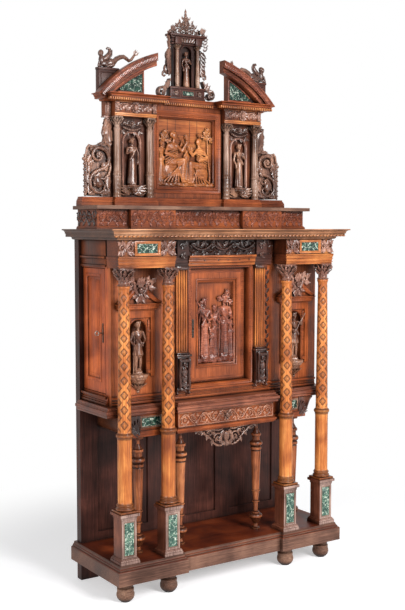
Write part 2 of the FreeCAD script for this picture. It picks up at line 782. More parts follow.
def make_plinth():
    """The platform, whose end blocks stand forward, and its turned feet."""
    y_front = front + size.plinth_setback + size.plinth_moulding
    outer = plinth_half_width - size.plinth_moulding
    inner = size.plinth_block_inner + size.plinth_moulding
    reach, rise = size.plinth_moulding, size.plinth_height
    parts = [moulded(PLINTH_SHARES, reach, rise, span(side, inner, outer), (y_front, rear),
                     size.foot_height) for side in (LEFT, RIGHT)]
    centre_front = y_front + size.plinth_break
    parts.append(moulded(PLINTH_SHARES, reach, rise, (-inner, inner), (centre_front, rear),
                         size.foot_height, "F"))
    mortises = [board(span(side, post_inner_x, post_half_span), (frame_front, frame_rear),
                      (size.foot_height - size.overrun, plinth_top + size.overrun))
                for side in (LEFT, RIGHT)]
    node("plinth", cut(fused(*parts), *mortises))
    feet = [turned(FOOT_SHARES, size.foot_radius, size.foot_height, place * side, column_y, 0)
            for place in (size.column_outer_x, size.column_inner_x) for side in (LEFT, RIGHT)]
    node("bun_feet", group(feet))


def make_back():
    """The frame and panel back, whose posts run from the floor to the cornice."""
    rail_y = (frame_front, frame_front + size.rail_thickness)
    middle_foot = table_top - size.back_middle_rail_height
    top_foot = cornice_foot - size.back_top_rail_height
    rail_levels = [
        (plinth_top, plinth_top + size.back_rail_height),
        (middle_foot, table_top),
        (top_foot, cornice_foot),
    ]
    pieces = [board(span(side, post_inner_x, post_half_span), (frame_front, frame_rear),
                    (as_size(0), cornice_foot)) for side in (LEFT, RIGHT)]
    pieces += [board((-post_inner_x, post_inner_x), rail_y, level) for level in rail_levels]
    panels = []
    panel_front = frame_front + size.back_panel_setback
    panel_y = (panel_front, panel_front + size.back_panel_thickness)
    muntin_outer = size.muntin_inner_x + size.muntin_width
    for low, high in zip(rail_levels, rail_levels[1:]):
        level = (low[1], high[0])
        for side in (LEFT, RIGHT):
            pieces.append(board(span(side, size.muntin_inner_x, muntin_outer), rail_y, level))
            panels.append(board(span(side, muntin_outer, post_inner_x), panel_y, level))
        panels.append(board((-size.muntin_inner_x, size.muntin_inner_x), panel_y, level))
    node("back_frame", group(pieces))
    node("back_panels", group(panels))


def column_places():
    """The four columns from left to right, with their side."""
    return [(LEFT, size.column_outer_x), (LEFT, size.column_inner_x),
            (RIGHT, size.column_inner_x), (RIGHT, size.column_outer_x)]


def make_pedestals():
    """Square pedestals with moulded cap and foot, and a marble inset in the front of each."""
    half, reach = size.pedestal_half, size.pedestal_moulding
    foot, cap = size.pedestal_base_height, size.pedestal_cap_height
    pedestals, marbles = [], []
    middle = plinth_top + size.pedestal_height / 2
    for side, place in column_places():
        x = (place * side - half, place * side + half)
        y = (column_y - half, column_y + half)
        base = moulded(FOOT_MOULD_SHARES, reach, foot, x, y, plinth_top, "LFRB")
        die = board(x, y, (plinth_top + foot, pedestal_top - cap))
        head = moulded(CAP_SHARES, reach, cap, x, y, pedestal_top - cap, "LFRB")
        width, height = size.pedestal_inset_half_width, size.pedestal_inset_half_height
        inset_x = (place * side - width, place * side + width)
        inset_z = (middle - height, middle + height)
        pocket = board(inset_x, (y[0] - size.overrun, y[0] + size.inset_depth), inset_z)
        pedestals.append(cut(fused(base, die, head), pocket))
        marbles.append(board(inset_x, (y[0], y[0] + size.inset_depth), inset_z))
    node("column_pedestals", group(pedestals))
    return marbles


def make_column(x):
    """One column: square plinth, turned base, smooth lower part, collar and tapering upper part."""
    plinth_half = size.column_base_radius
    plinth = board((x - plinth_half, x + plinth_half), (column_y - plinth_half, column_y + plinth_half),
                   (pedestal_top, pedestal_top + size.column_plinth_height))
    base_foot = pedestal_top + size.column_plinth_height
    base = turned(COLUMN_BASE_SHARES, size.column_base_radius, size.column_base_height, x, column_y,
                  base_foot)
    shaft_foot = size.column_plinth_height + size.column_base_height
    collar_foot = size.lower_shaft_height
    collar_top = collar_foot + size.collar_height
    astragal_foot = size.column_height - size.astragal_height
    corners = [
        (0, shaft_foot, STRAIGHT),
        (size.shaft_radius, shaft_foot, STRAIGHT),
        (size.shaft_radius, collar_foot, ROUND),
        (size.collar_radius, collar_foot + size.collar_height / 2, ROUND),
        (size.upper_shaft_radius, collar_top, STRAIGHT),
        (size.neck_radius, astragal_foot, ROUND),
        (size.astragal_radius, astragal_foot + size.astragal_height / 2, ROUND),
        (size.neck_radius, size.column_height, STRAIGHT),
        (0, size.column_height, STRAIGHT),
    ]
    body = document.addObject("PartDesign::Body", "shaft")
    sketch = draw(body, "XZ_Plane", 0, corners)
    turn = body.newObject("PartDesign::Revolution", "turn")
    turn.Profile = sketch
    turn.ReferenceAxis = (sketch, ["V_Axis"])
    turn.Angle = FULL_TURN
    return fused(plinth, base, put(body, x, column_y, pedestal_top))


def make_columns():
    """Four columns in two nodes, and their capitals."""
    for label, place in (("outer_columns", size.column_outer_x), ("inner_columns", size.column_inner_x)):
        node(label, group([make_column(place * side) for side in (LEFT, RIGHT)]))
    capitals = []
    for side, place in column_places():
        x, half = place * side, size.capital_half
        bell = turned(BELL_SHARES, half, size.capital_height, x, column_y, capital_foot)
        bell_top = capital_foot + size.capital_height - size.abacus_height
        abacus = board((x - half, x + half), (column_y - half, column_y + half),
                       (bell_top, entablature_foot))
        neck = rod(size.neck_radius, size.capital_height, x, column_y, capital_foot)
        capitals.append(fused(bell, abacus, neck))
    node("column_capitals", group(capitals))


def make_legs():
    """Four turned legs under the front of the case."""
    height = housing_underside - plinth_top
    legs = [turned(LEG_SHARES, size.leg_radius, height, place * side, front + size.leg_setback, plinth_top)
            for place in (size.leg_outer_x, size.leg_inner_x) for side in (LEFT, RIGHT)]
    node("turned_legs", group(legs))


def make_table():
    """The moulded board that carries the case, its centre standing forward over the drawer."""
    reach, rise = size.table_moulding, size.table_height
    y_front = front + size.table_setback + reach
    centre_front = front + size.table_centre_setback + reach
    half = table_half_width - reach
    wide = moulded(TABLE_SHARES, reach, rise, (-half, half), (y_front, frame_front),
                   table_underside)
    centre_half = size.table_centre_half_width - reach
    centre = moulded(TABLE_SHARES, reach, rise, (-centre_half, centre_half),
                     (centre_front, frame_front), table_underside)
    node("table_board", fused(wide, centre))


def make_drawer_housing():
    """The housing that hangs under the table board, with its runners."""
    half, reach = size.housing_half_width, size.housing_moulding
    y_front = front + size.drawer_front_setback + size.drawer_front_thickness + size.drawer_gap
    moulded_front = front + size.drawer_front_setback
    floor_top = housing_underside + size.housing_board_height
    floor = moulded(HOUSING_SHARES, reach, size.housing_board_height, (-half, half),
                    (moulded_front, frame_front), housing_underside)
    cheeks = [board(span(side, half - size.housing_cheek, half), (y_front, frame_front),
                    (floor_top, table_underside)) for side in (LEFT, RIGHT)]
    node("drawer_housing", fused(floor, *cheeks))
    inner = half - size.housing_cheek
    runners = [board(span(side, inner - size.runner_width, inner), (y_front, frame_front),
                     (floor_top, floor_top + size.runner_height)) for side in (LEFT, RIGHT)]
    node("drawer_runners", group(runners))


def make_drawer():
    """The drawer: carved front, box and mask."""
    floor_top = housing_underside + size.housing_board_height
    front_y = front + size.drawer_front_setback
    back_y = front_y + size.drawer_front_thickness
    half = size.drawer_front_half_width
    node("drawer_front", board((-half, half), (front_y, back_y),
                               (floor_top + size.drawer_gap, table_underside - size.drawer_gap)))
    box_half = size.housing_half_width - size.housing_cheek - size.drawer_side_gap
    foot = floor_top + size.runner_height
    head = table_underside - size.drawer_side_gap * 2
    wall = size.drawer_wall
    outside = board((-box_half, box_half), (back_y, back_y + size.drawer_depth), (foot, head))
    inside = board((wall - box_half, box_half - wall), (back_y + wall, back_y + size.drawer_depth - wall),
                   (foot + size.drawer_bottom_thickness, head + size.overrun))
    node("drawer_box", cut(outside, inside))
    middle = (floor_top + table_underside) / 2
    face = egg(size.mask_radius, size.mask_radius * size.mask_flat, size.mask_radius, 0, front_y, middle)
    reach = size.mask_radius + size.overrun
    half_space = board((-reach, reach), (front_y - reach, front_y), (middle - reach, middle + reach))
    node("drawer_mask", shared(face, half_space))


def make_side_boxes():
    """Shallow boxes under the side bays, each with an ogee outer end and a marble front inset."""
    boxes, marbles = [], []
    foot, head = housing_underside, table_underside
    block_foot = foot + size.box_moulding_height
    inner = size.housing_half_width + size.housing_moulding + size.curved_gap
    y_front = front + size.box_setback
    for side in (LEFT, RIGHT):
        block = board(span(side, inner, size.box_outer_x), (y_front, frame_front), (foot, head))
        ogee = [(size.box_outer_x - size.overrun, head, STRAIGHT),
                (size.box_outer_x - size.overrun, foot, STRAIGHT)]
        ogee += [(size.box_outer_x + size.box_ogee_reach * p, foot + (head - foot) * q, -kind)
                 for p, q, kind in OGEE_SHARES]
        if side == LEFT:
            kinds = [corner[2] for corner in ogee]
            ogee = [(-corner[0], corner[1], kinds[i - 1]) for i, corner in enumerate(ogee)][::-1]
        end = prism("XZ_Plane", case_front, frame_front, ogee)
        reach = size.box_moulding
        strip = board(span(side, inner, size.box_outer_x + reach), (y_front - reach, case_front),
                      (foot, block_foot - size.box_moulding))
        middle_x = size.box_outer_x - size.box_moulding * 3 - size.box_inset_half_width
        width, height = size.box_inset_half_width, size.box_inset_half_height
        middle_z = (block_foot + head) / 2
        inset_x = span(side, middle_x - width, middle_x + width)
        inset_z = (middle_z - height, middle_z + height)
        pocket = board(inset_x, (y_front - size.overrun, y_front + size.inset_depth), inset_z)
        boxes.append(cut(fused(block, end, strip), pocket))
        marbles.append(board(inset_x, (y_front, y_front + size.inset_depth), inset_z))
    node("side_boxes", group(boxes))
    return marbles


def make_apron():
    """The carved apron that hangs below the drawer."""
    head = housing_underside
    right = [(size.apron_half_width * p, head - size.apron_drop * q, kind) for p, q, kind in APRON_SHARES]
    kinds = [corner[2] for corner in right]
    left = [(-corner[0], corner[1], kinds[i - 1]) for i, corner in enumerate(right)][:0:-1]
    right[0] = (as_size(0), right[0][1], right[0][2])
    y_front = front + size.drawer_front_setback
    corners = right + left
    node("pierced_apron", prism("XZ_Plane", y_front, y_front + size.apron_thickness, corners))


def make_case_sides():
    """The side frames that the side doors hang in, with the mouldings above and below the doors."""
    for label, side in (("case_side_left", LEFT), ("case_side_right", RIGHT)):
        frame = board(span(side, case_inside_x, case_half_width), (case_inside_front, frame_front),
                      (table_top, cornice_foot))
        doorway = board(span(side, case_inside_x - size.overrun, case_half_width + size.overrun),
                        (case_inside_front + size.side_stile, frame_front + size.overrun),
                        (door_sill, side_door_head))
        face = case_half_width
        reach = size.side_moulding_reach
        head, rise = side_door_head, size.side_moulding_height
        upper = [(face, head, STRAIGHT), (face + reach / 2, head, STRAIGHT),
                 (face + reach / 2, head + rise / 2, STRAIGHT), (face + reach, head + rise, STRAIGHT),
                 (face, head + rise, STRAIGHT)]
        lower = [(face, table_top, STRAIGHT), (face + reach, table_top, STRAIGHT),
                 (face + reach, table_top + rise / 2, STRAIGHT), (face + reach / 2, table_top + rise, STRAIGHT),
                 (face, table_top + rise, STRAIGHT)]
        strips = []
        for strip in (upper, lower):
            if side == LEFT:
                strip = [(-corner[0], corner[1], STRAIGHT) for corner in strip][::-1]
            strips.append(prism("XZ_Plane", case_inside_front, frame_front, strip))
        node(label, fused(cut(frame, doorway), *strips))


def make_case_inside():
    """Floor, dividers, shelves and top board of the case."""
    thick = size.board_thickness
    floor = board((-case_inside_x, case_inside_x), (surround_rear, frame_front),
                  (door_sill - thick, door_sill))
    top = board((-case_inside_x, case_inside_x), (surround_rear, frame_front),
                (case_top, case_top + thick))
    half = thick / 2
    niche_rear = case_front + niche_radius + size.niche_wall
    pieces = [floor, top]
    for side in (LEFT, RIGHT):
        pieces.append(board(span(side, size.divider_x - half, size.divider_x + half),
                            (surround_rear, frame_front), (door_sill, case_top)))
        pieces.append(board(span(side, size.divider_x + half, case_inside_x - size.door_gap),
                            (niche_rear, frame_front), (shelf_level, shelf_level + thick)))
    pieces.append(board((half - size.divider_x, size.divider_x - half),
                        (surround_rear + thick * 2, frame_front),
                        (shelf_level, shelf_level + thick)))
    node("case_boards", group(pieces))


def make_bays():
    """The side bays: front boards with domed niches, aedicules, brackets and figures."""
    boards, frames, brackets, figures = [], [], [], []
    inner = size.surround_half_width
    for side in (LEFT, RIGHT):
        centre = bay_centre_x * side
        face = board(span(side, inner, case_half_width), (case_front, case_inside_front),
                     (table_top, cornice_foot))
        shell_half = niche_radius + size.niche_wall
        shell = board((centre - shell_half, centre + shell_half),
                      (case_front, case_front + niche_radius + size.niche_wall),
                      (niche_sill - size.niche_wall, niche_top + size.niche_wall))
        hollow = niche_tool(niche_radius, centre, case_front, niche_sill,
                            niche_top)
        boards.append(cut(fused(face, shell), hollow))
        frames.append(make_aedicule(side))
        bracket = turned(BRACKET_SHARES, size.bracket_radius, size.bracket_height, centre, case_front,
                         niche_sill - size.bracket_height)
        reach = size.bracket_radius + size.overrun
        ahead = board((centre - reach, centre + reach), (case_front - reach, case_front),
                      (niche_sill - size.bracket_height, niche_sill))
        brackets.append(shared(bracket, ahead))
        figures.append(turned(FIGURE_SHARES, size.figure_radius,
                              niche_top - niche_sill - size.figure_headroom, centre,
                              case_front - size.figure_proud, niche_sill))
    node("bay_fronts", group(boards))
    node("niche_aedicules", group(frames))
    node("niche_figures", group(figures))
    return brackets


def make_aedicule(side):
    """The frame round a niche, with its small cornice, two scrolls and cartouche."""
    centre = bay_centre_x * side
    foot, head = niche_sill - size.aedicule_foot_drop, niche_top + size.aedicule_head_rise
    y_front = case_front - size.aedicule_proud
    outside = board((centre - aedicule_half, centre + aedicule_half),
                    (y_front, case_front), (foot, head))
    width = aedicule_opening_half
    opening = board((centre - width, centre + width), (y_front - size.overrun, case_front + size.overrun),
                    (foot - size.overrun, head - size.aedicule_cornice_height))
    width = aedicule_cornice_half
    cornice = moulded(CORNICE_SHARES, size.aedicule_cornice_reach, size.aedicule_cornice_height,
                      (centre - width, centre + width), (y_front, case_front), head)
    cornice_head = head + size.aedicule_cornice_height
    y_scroll = case_front - size.scroll_thickness
    parts = [cut(outside, opening), cornice]
    gap = size.cartouche_half_width / 2
    for hand in (LEFT, RIGHT):
        corners = shape_of_shares(hand, SCROLL_SHARES, gap, width - gap, cornice_head, size.scroll_height)
        corners = [(centre + corner[0], corner[1], corner[2]) for corner in corners]
        parts.append(prism("XZ_Plane", y_scroll, case_front, corners))
    shield = [(centre + size.cartouche_half_width * p, cornice_head + size.cartouche_height * q, kind)
              for p, q, kind in CARTOUCHE_SHARES]
    parts.append(prism("XZ_Plane", y_scroll - size.aedicule_proud, case_front, shield))
    return fused(*parts)


def make_surround():
    """The frontispiece: a deep surround for the centre door and two fluted pilasters."""
    half, opening = size.surround_half_width, size.door_half_width + size.door_gap
    sill, head = centre_door_sill - size.door_gap, centre_door_head + size.door_gap
    whole = board((-half, half), (surround_front, surround_rear), (table_top, entablature_foot))
    doorway = board((-opening, opening), (surround_front - size.overrun, surround_rear + size.overrun),
                    (sill, head))
    rebate_half = opening + size.surround_rebate_width
    rebate = board((-rebate_half, rebate_half),
                   (surround_front - size.overrun, surround_front + size.surround_rebate),
                   (sill - size.surround_rebate_width, head))
    holes = [rod(size.pin_radius, size.pin_length, opening - size.door_gap - size.pin_inset,
                 door_front + size.pin_inset, level - size.pin_length / 2) for level in (sill, head)]
    node("door_surround", cut(whole, doorway, rebate, *holes))
    pilasters = []
    for side in (LEFT, RIGHT):
        x, width = size.pilaster_x * side, size.pilaster_half_width
        shaft = board((x - width, x + width), (pilaster_front, surround_front),
                      (pilaster_foot, entablature_foot))
        pitch = width / 2
        flutes = [rod(size.flute_radius, entablature_foot - pilaster_foot - size.flute_radius * 8,
                      x + pitch * step, pilaster_front, pilaster_foot + size.flute_radius * 4)
                  for step in (-1.35, -0.45, 0.45, 1.35)]
        width = size.pilaster_block_half_width
        block = board((x - width, x + width),
                      (surround_front - size.pilaster_block_proud, surround_front),
                      (door_sill, pilaster_foot))
        pilasters.append(fused(cut(shaft, *flutes), block))
    node("fluted_pilasters", group(pilasters))


def make_centre_door():
    """The centre door: a frame, its relief panel and its keyhole plate with the lock behind."""
    half, sill, head = size.door_half_width, centre_door_sill, centre_door_head
    y = (door_front, door_front + size.door_thickness)
    leaf = board((-half, half), y, (sill, head))
    width = door_panel_half
    window = board((-width, width), (y[0] - size.overrun, y[1] + size.overrun),
                   (door_panel_sill, door_panel_head))
    bores = [rod(size.pin_radius + size.pin_play, size.pin_length, half - size.pin_inset,
                 door_front + size.pin_inset, level - size.pin_length / 2) for level in (sill, head)]
    lock_x = -(half + width) / 2
    bore = rod(size.key_radius + size.key_play, size.door_thickness + size.overrun * 2, lock_x,
               y[0] - size.overrun, lock_level, "Y")
    node("centre_door", cut(leaf, window, bore, *bores))
    lap = size.door_panel_lap
    panel = board((-width - lap, width + lap), (y[1], y[1] + size.door_panel_thickness),
                  (door_panel_sill - lap, door_panel_head + lap))
    node("centre_door_panel", panel)
    plate = board((lock_x - size.plate_half_width, lock_x + size.plate_half_width),
                  (y[0] - size.plate_thickness, y[0]),
                  (lock_level - size.plate_half_height, lock_level + size.plate_half_height))
    hole = rod(size.key_radius, size.overrun * 2, lock_x, y[0] - size.overrun, lock_level, "Y")
    case = board((lock_x - size.lock_half_width, lock_x + size.lock_half_width),
                 (y[1], y[1] + size.lock_depth),
                 (lock_level - size.lock_half_height, lock_level + size.lock_half_height))
    node("centre_door_lock", group([cut(plate, hole), case]))


def make_side_door(label, side):
    """One side door: frame, panel, lock with its plate, and the key."""
    outer, inner = case_half_width, case_inside_x
    doorway_front = case_inside_front + size.side_stile
    y = (doorway_front + size.door_gap, frame_front - size.door_gap)
    z = (door_sill + size.door_gap, side_door_head - size.door_gap)
    leaf = board(span(side, inner, outer), y, z)
    panel_y = (y[0] + size.side_door_front_stile, y[1] - size.side_door_rear_stile)
    panel_z = (z[0] + size.side_door_bottom_rail, z[1] - size.side_door_top_rail)
    window = board(span(side, inner - size.overrun, outer + size.overrun), panel_y, panel_z)
    pin_x, pin_y = (outer - size.pin_inset) * side, y[1] - size.pin_inset
    bores = [rod(size.pin_radius + size.pin_play, size.pin_length, pin_x, pin_y,
                 level - size.pin_length / 2) for level in z]
    key_y = y[0] + size.lock_from_edge
    low, high = span(side, inner, outer)
    bore = rod(size.key_radius + size.key_play, size.side_board + size.overrun * 2, low - size.overrun,
               key_y, lock_level, "X")
    node(f"{label}_door", cut(leaf, window, bore, *bores))
    panel_x = outer - size.side_door_panel_setback
    node(f"{label}_door_panel", board(span(side, panel_x - size.side_door_panel_thickness, panel_x),
                                      panel_y, panel_z))
    plate_z = (lock_level - size.plate_half_height, lock_level + size.plate_half_height)
    plate = board(span(side, outer, outer + size.plate_thickness),
                  (key_y - size.plate_half_width, key_y + size.plate_half_width), plate_z)
    hole = rod(size.key_radius + size.key_play, size.side_board * 2, low - size.side_board / 2, key_y,
               lock_level, "X")
    lock_z = (lock_level - size.lock_half_height, lock_level + size.lock_half_height)
    lock_y = (key_y - size.lock_half_width, key_y + size.lock_half_width)
    case = board(span(side, inner - size.lock_depth, inner), lock_y, lock_z)
    wall = size.lock_wall
    cavity = board(span(side, inner - size.lock_depth + wall, inner - wall),
                   (lock_y[0] + wall, lock_y[1] - wall), (lock_z[0] + wall, lock_z[1] - wall))
    node(f"{label}_door_lock", group([cut(plate, hole), cut(case, cavity, hole)]))
    make_key(label, side, key_y)


def make_key(label, side, key_y):
    """A key in its lock, with a ring bow outside and a bit inside the lock case."""
    outer = case_half_width
    tip = case_inside_x - size.lock_depth + size.lock_wall + size.curved_gap
    stem_end = outer + size.key_reach - size.bow_radius
    low, high = span(side, tip, stem_end)
    stem = rod(size.key_radius, high - low, low, key_y, lock_level, "X")
    bow = document.addObject("Part::Torus", "bow")
    bind(bow, Radius1=size.bow_radius, Radius2=size.bow_wire)
    bow.Placement.Rotation = FreeCAD.Rotation(FreeCAD.Vector(1, 0, 0), QUARTER_TURN)
    put(bow, (outer + size.key_reach) * side, key_y, lock_level)
    bit = board(span(side, tip, tip + size.bit_length),
                (key_y - size.bit_width / 2, key_y + size.bit_width / 2),
                (lock_level - size.key_radius * 3, lock_level))
    node(f"{label}_key", fused(stem, bow, bit))


def make_hinge_pins():
    """The pivot pins of all three doors, at the head and the foot of each."""
    length = size.pin_length
    pins = []
    opening_sill = centre_door_sill - size.door_gap
    opening_head = centre_door_head + size.door_gap
    x = size.door_half_width - size.pin_inset
    for level in (opening_sill, opening_head):
        pins.append(rod(size.pin_radius, length - size.overrun, x, door_front + size.pin_inset,
                        level - (length - size.overrun) / 2))
    pin_y = frame_front - size.door_gap - size.pin_inset
    for side in (LEFT, RIGHT):
        x = (case_half_width - size.pin_inset) * side
        for level, direction in ((door_sill, 0), (side_door_head, -1)):
            half = (length - size.overrun) / 2
            pins.append(rod(size.pin_radius, half, x, pin_y, level + half * direction))
    node("door_hinge_pins", group(pins))


def make_entablature():
    """Entablature: blocks over the column pairs, the recessed centre and the main cornice."""
    blocks, marbles = [], []
    middle = frieze_foot + size.frieze_height / 2
    for side in (LEFT, RIGHT):
        x = span(side, size.block_inner_x, block_outer_x)
        y = (block_front, case_front)
        architrave = moulded(FASCIA_SHARES, size.fascia_reach, size.architrave_height, x, y,
                             entablature_foot)
        frieze = board(x, y, (frieze_foot, cornice_foot))
        centre = (size.block_inner_x + block_outer_x) / 2
        width, height = size.frieze_inset_half_width, size.frieze_inset_half_height
        rim = size.frieze_inset_frame
        face = block_front - size.frieze_frame_proud
        frame = board(span(side, centre - width - rim, centre + width + rim), (face, block_front),
                      (middle - height - rim / 2, middle + height + rim / 2))
        inset_x = span(side, centre - width, centre + width)
        inset_z = (middle - height, middle + height)
        pocket = board(inset_x, (face - size.overrun, block_front), inset_z)
        blocks.append(cut(fused(architrave, frieze, frame), pocket))
        marbles.append(board(inset_x, (block_front - size.inset_depth, block_front), inset_z))
    node("entablature_blocks", group(blocks))
    y = (front + size.centre_frieze_setback, surround_rear)
    x = (-size.block_inner_x, size.block_inner_x)
    architrave = moulded(FASCIA_SHARES, size.fascia_reach, size.architrave_height, x, y,
                         entablature_foot, "F")
    frieze = board(x, y, (frieze_foot, cornice_foot))
    consoles = [board(((size.pilaster_x * side) - size.console_half_width,
                       (size.pilaster_x * side) + size.console_half_width),
                      (y[0] - size.console_proud, y[0]), (frieze_foot, cornice_foot))
                for side in (LEFT, RIGHT)]
    centre = shared(fused(architrave, frieze, *consoles),
                    board((-size.surround_half_width, size.surround_half_width),
                          (y[0] - size.overrun * 4, y[1]), (entablature_foot, cornice_foot)))
    node("centre_frieze", centre)
    half = block_outer_x
    node("main_cornice", moulded(CORNICE_SHARES, size.cornice_overhang, size.cornice_rise, (-half, half),
                                 (block_front, rear), cornice_foot))
    return marbles


def make_attic():
    """The low carved box on the cornice, with two blocks that stand forward and a top board."""
    half = attic_half_width
    y = (front + size.attic_setback, rear - size.attic_rear_gap)
    base = moulded(FOOT_MOULD_SHARES, size.attic_base_reach, size.attic_base_height, (-half, half),
                   y, cornice_top)
    body = board((-half, half), y, (cornice_top, attic_head))
    parts = [base, body]
    for side in (LEFT, RIGHT):
        block_x = span(side, size.attic_block_inner, size.attic_block_outer)
        block_y = (y[0] - size.attic_block_proud, y[0] + size.overrun)
        parts.append(board(block_x, block_y, (cornice_top, attic_head)))
    node("attic_box", fused(*parts))
    half = attic_top_half_width
    node("attic_top", board((-half, half), (front + size.attic_top_setback, rear), (attic_head, upper_foot)))


def make_upper_base():
    """The moulded base of the upper stage."""
    reach, rise = size.upper_base_reach, size.upper_base_height
    half = attic_half_width - reach
    y_front = front + size.upper_base_setback
    wide = moulded(FOOT_MOULD_SHARES, reach, rise, (-half, half), (y_front, rear), upper_foot)
    towers = [moulded(FOOT_MOULD_SHARES, reach, rise, span(side, size.tower_inner_x, size.tower_outer_x),
                      (tower_front, rear), upper_foot) for side in (LEFT, RIGHT)]
    centre_y = front + size.relief_frame_setback
    centre = moulded(FOOT_MOULD_SHARES, reach, rise, (-size.tower_inner_x, size.tower_inner_x),
                     (centre_y, rear), upper_foot, "F")
    node("upper_base", fused(wide, centre, *towers))


def make_towers():
    """Two niche towers with colonnettes, brackets and figures."""
    towers, colonnettes, brackets, figures = [], [], [], []
    wall_front = front + size.tower_wall_setback
    axis_y = tower_front + size.colonnette_radius
    for side in (LEFT, RIGHT):
        centre = size.tower_centre_x * side
        half = size.tower_wall_half
        wall = board((centre - half, centre + half), (wall_front, rear), (upper_floor, tower_head))
        radius = size.tower_niche_radius
        spring = tower_niche_top - radius
        recess = fused(board((centre - radius, centre + radius), (wall_front - size.overrun, rear - size.niche_wall),
                             (tower_niche_sill, spring)),
                       rod(radius, rear - size.niche_wall - wall_front + size.overrun, centre,
                           wall_front - size.overrun, spring, "Y"))
        head = board(span(side, size.tower_inner_x, size.tower_outer_x), (tower_front, rear),
                     (tower_head, upper_cornice_foot))
        shoulder = board(span(side, size.tower_outer_x, size.tower_shoulder_x), (wall_front, rear),
                         (tower_head, upper_cornice_foot))
        towers.append(fused(cut(wall, recess), head, shoulder))
        for hand in (LEFT, RIGHT):
            colonnettes.append(turned(COLONNETTE_SHARES, size.colonnette_radius, size.tower_order_height,
                                      centre + size.colonnette_spacing * hand, axis_y, upper_floor))
        shelf = turned(BRACKET_SHARES, radius, size.tower_bracket_height, centre, wall_front,
                       tower_niche_sill - size.tower_bracket_height)
        reach = radius + size.overrun
        ahead = board((centre - reach, centre + reach), (wall_front - reach, wall_front),
                      (tower_niche_sill - size.tower_bracket_height, tower_niche_sill))
        brackets.append(shared(shelf, ahead))
        figures.append(turned(FIGURE_SHARES, size.tower_figure_radius, tower_figure_height, centre,
                              wall_front - size.figure_proud, tower_niche_sill))
    node("niche_towers", group(towers))
    return colonnettes, brackets, figures


def make_relief():
    """The framed relief between the towers and the cornice that runs over all three."""
    half = size.tower_inner_x
    y_front, rear_y = front + size.relief_frame_setback, rear
    whole = board((-half, half), (y_front, rear_y), (upper_floor, upper_cornice_foot))
    width = size.relief_half_width
    window = board((-width, width), (y_front - size.overrun, rear_y + size.overrun),
                   (relief_foot, relief_head))
    node("relief_frame", cut(whole, window))
    y = front + size.relief_setback
    node("relief_panel", board((-width, width), (y, y + size.relief_thickness),
                               (relief_foot, relief_head)))
    towers = [moulded(CORNICE_SHARES, size.tower_cornice_reach, size.tower_cornice,
                      span(side, size.tower_inner_x, size.tower_outer_x), (tower_front, rear),
                      upper_cornice_foot) for side in (LEFT, RIGHT)]
    centre = moulded(CORNICE_SHARES, size.centre_cornice_reach, size.tower_cornice, (-half, half),
                     (y_front, rear), upper_cornice_foot, "F")
    shoulders = [moulded(CORNICE_SHARES, size.tower_cornice_reach, size.tower_cornice,
                         span(side, size.tower_outer_x, size.tower_shoulder_x),
                         (front + size.tower_wall_setback, rear), upper_cornice_foot) for side in (LEFT, RIGHT)]
    node("upper_cornice", fused(centre, *towers, *shoulders))


def make_wings():
    """The pierced scroll wings beside the towers."""
    start = size.tower_centre_x + size.tower_wall_half
    y = front + size.wing_setback
    wings = [prism("XZ_Plane", y, y + size.wing_thickness,
                   shape_of_shares(side, WING_SHARES, start, size.wing_reach, upper_floor, size.wing_height))
             for side in (LEFT, RIGHT)]
    node("scroll_wings", group(wings))


def ring(outer, thickness, y_low, y_high, level):
    """A flat hoop about the pediment's centre, standing in the XZ plane."""
    hoop = rod(outer, y_high - y_low, 0, y_low, level, "Y")
    bore = rod(outer - thickness, y_high - y_low + size.overrun * 2, 0, y_low - size.overrun, level, "Y")
    return cut(hoop, bore)


def make_pediment():
    """The two halves of the broken segmental pediment, with marble set in their triangles."""
    halves, marbles = [], []
    level = crown_foot - size.pediment_centre_drop
    radius, band, fillet = size.pediment_radius, size.pediment_cornice, size.pediment_fillet
    y_front, y_board = front + size.pediment_setback, front + size.tympanum_setback
    for side in (LEFT, RIGHT):
        window = board(span(side, size.pediment_inner_x, radius), (y_front - size.overrun, rear),
                       (crown_foot, level + radius))
        crown = ring(radius, band / 2, y_front, y_board, level)
        bed = ring(radius - band / 2, band / 2, y_front + fillet, y_board, level)
        tympanum_x = span(side, size.tympanum_inner_x, size.sphinx_plinth_inner - size.curved_gap)
        slab = board(tympanum_x, (y_board, rear), (crown_foot, level + radius))
        field = shared(rod(radius - fillet, rear - y_board, 0, y_board, level, "Y"), slab)
        halves.append(fused(shared(fused(crown, bed), window), field))
        foot = crown_foot + size.tympanum_inset_foot
        inset = shared(rod(radius - band - fillet, size.inset_depth, 0, y_board - size.inset_depth, level, "Y"),
                       board(span(side, size.tympanum_inner_x + fillet, size.sphinx_plinth_inner),
                             (y_board - size.inset_depth, y_board), (foot, level + radius)))
        marbles.append(inset)
    node("pediment_halves", group(halves))
    return marbles


